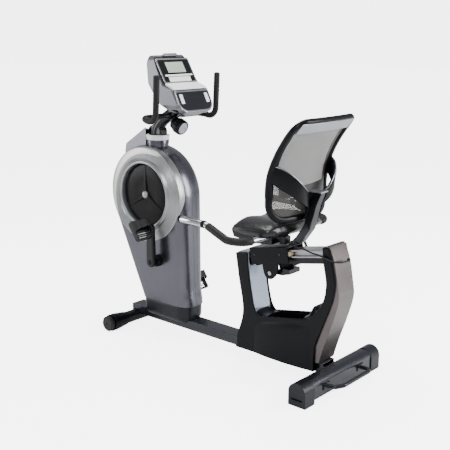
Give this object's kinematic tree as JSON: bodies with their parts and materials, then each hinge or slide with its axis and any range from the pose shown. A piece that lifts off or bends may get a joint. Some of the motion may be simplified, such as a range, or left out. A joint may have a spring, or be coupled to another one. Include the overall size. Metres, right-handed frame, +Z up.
{
  "type": "recumbent exercise bike",
  "caption": "Recumbent exercise bike with a round drive housing, a sliding seat with a mesh backrest, side handles, a console on an arm and a pedal crank.",
  "frame": {"origin": "middle of the bounding box in plan, on the floor", "axes": "+X to the seat end, +Y to the rider's right-hand side, +Z up"},
  "size_m": [1.45, 0.6558, 1.366],
  "materials": {
    "black_cover": "satin moulded plastic",
    "gloss_black": "glossy moulded plastic",
    "silver_plastic": "silver-painted plastic",
    "graphite_plastic": "metallic grey plastic",
    "silver_paint": "silver paint",
    "dark_paint": "black paint",
    "rail_metal": "brushed extrusion",
    "chrome": "polished",
    "iron": "turned iron",
    "steel": "brushed",
    "pulley": "moulded",
    "rubber": "matte",
    "foam": "foam sleeve",
    "vinyl": "soft black vinyl",
    "mesh": "woven mesh",
    "lens": "clear window",
    "display": "grey-green display"
  },
  "bodies": {
    "base": {"base_beam": "silver_paint", "front_stabiliser": "silver_paint", "front_caps": "black_cover", "rear_stabiliser": "silver_paint", "rear_caps": "black_cover", "carry_handle": "dark_paint", "base_fasteners": "steel", "housing_left": "black_cover", "housing_right": "black_cover", "base_cover": "black_cover", "ring_left": "silver_plastic", "ring_right": "silver_plastic", "gusset_cover": "black_cover", "neck_collar": "dark_paint", "mast": "dark_paint", "drive_belt": "rubber", "pedestal_cover_left": "black_cover", "pedestal_cover_right": "black_cover", "front_leg_cover": "silver_plastic", "rear_leg_cover": "graphite_plastic", "seat_frame": "dark_paint", "bottle_tray": "graphite_plastic", "seat_rail": "rail_metal", "pulse_plug": "rubber", "console_arm": "gloss_black", "console_shell": "gloss_black", "console_face": "gloss_black", "console_lens": "lens", "display_module": "display", "key_panel": "black_cover"},
    "brake": {"brake_arm": "dark_paint"},
    "left_key": {"key_left": "silver_plastic"},
    "right_key": {"key_right": "silver_plastic"},
    "left_wheel": {"transport_wheel_left": "rubber"},
    "right_wheel": {"transport_wheel_right": "rubber"},
    "crank": {"crank_axle": "steel", "drive_pulley": "pulley", "crank_left": "silver_paint", "crank_right": "silver_paint"},
    "left_pedal": {"pedal_left": "black_cover", "strap_left": "rubber"},
    "right_pedal": {"pedal_right": "black_cover", "strap_right": "rubber"},
    "flywheel": {"flywheel": "iron", "flywheel_discs": "silver_plastic"},
    "bar": {"handlebar": "chrome", "bar_grips": "foam"},
    "knob": {"clamp_knob": "gloss_black"},
    "seat": {"carriage": "dark_paint", "seat_cushion": "vinyl", "back_post": "silver_paint", "back_support": "silver_paint", "back_frame": "dark_paint", "back_mesh": "mesh", "side_handle": "chrome", "handle_grips": "foam", "pulse_lead": "rubber"},
    "front_roller": {"rollers_front": "rubber"},
    "rear_roller": {"rollers_rear": "rubber"},
    "lever": {"seat_lever": "gloss_black"}
  },
  "joints": [
    {"name": "crank_spin", "type": "hinge", "parent": "base", "child": "crank", "pos_m": [-0.378, 0, 0.383], "axis": [0, 1, 0], "continuous": true},
    {"name": "flywheel_spin", "type": "hinge", "parent": "base", "child": "flywheel", "pos_m": [-0.465, 0, 0.697], "axis": [0, 1, 0], "continuous": true},
    {"name": "left_pedal_spin", "type": "hinge", "parent": "crank", "child": "left_pedal", "pos_m": [-0.378, -0.196, 0.553], "axis": [0, 1, 0], "continuous": true},
    {"name": "right_pedal_spin", "type": "hinge", "parent": "crank", "child": "right_pedal", "pos_m": [-0.378, 0.196, 0.213], "axis": [0, 1, 0], "continuous": true},
    {"name": "left_wheel_spin", "type": "hinge", "parent": "base", "child": "left_wheel", "pos_m": [-0.594, -0.227, 0.042], "axis": [0, 1, 0], "continuous": true},
    {"name": "right_wheel_spin", "type": "hinge", "parent": "base", "child": "right_wheel", "pos_m": [-0.594, 0.227, 0.042], "axis": [0, 1, 0], "continuous": true},
    {"name": "brake_swing", "type": "hinge", "parent": "base", "child": "brake", "pos_m": [-0.338, 0, 0.823], "axis": [0, 1, 0], "range_deg": [0, 5]},
    {"name": "left_key_press", "type": "slide", "parent": "base", "child": "left_key", "axis": [-0.8941, 0, -0.4478], "range_m": [0, 0.0015], "stiffness_N_per_m": 400},
    {"name": "right_key_press", "type": "slide", "parent": "base", "child": "right_key", "axis": [-0.8941, 0, -0.4478], "range_m": [0, 0.0015], "stiffness_N_per_m": 400},
    {"name": "bar_tilt", "type": "hinge", "parent": "base", "child": "bar", "pos_m": [-0.352, 0, 1.082], "axis": [0, 1, 0], "range_deg": [-8, 8]},
    {"name": "knob_turn", "type": "hinge", "parent": "base", "child": "knob", "pos_m": [-0.35, 0, 1.055], "axis": [0.9185, 0, -0.3955], "range_deg": [-180, 180]},
    {"name": "seat_slide", "type": "slide", "parent": "base", "child": "seat", "axis": [0.9836, 0, 0.1805], "range_m": [0, 0.13], "deforming": ["pulse_lead"]},
    {"name": "front_roller_spin", "type": "hinge", "parent": "seat", "child": "front_roller", "pos_m": [0.20626, 0, 0.51367], "axis": [0, 1, 0], "continuous": true},
    {"name": "rear_roller_spin", "type": "hinge", "parent": "seat", "child": "rear_roller", "pos_m": [0.34396, 0, 0.53894], "axis": [0, 1, 0], "continuous": true},
    {"name": "lever_pull", "type": "hinge", "parent": "seat", "child": "lever", "pos_m": [0.294, 0, 0.446], "axis": [0, 1, 0], "range_deg": [0, 20], "stiffness_Nm_per_rad": 1.2}
  ],
  "couplings": [
    {"joint": "flywheel_spin", "follows": "crank_spin", "ratio": 4.5},
    {"joint": "front_roller_spin", "follows": "seat_slide", "rad_per_m": 97.09},
    {"joint": "rear_roller_spin", "follows": "seat_slide", "rad_per_m": 97.09}
  ]
}
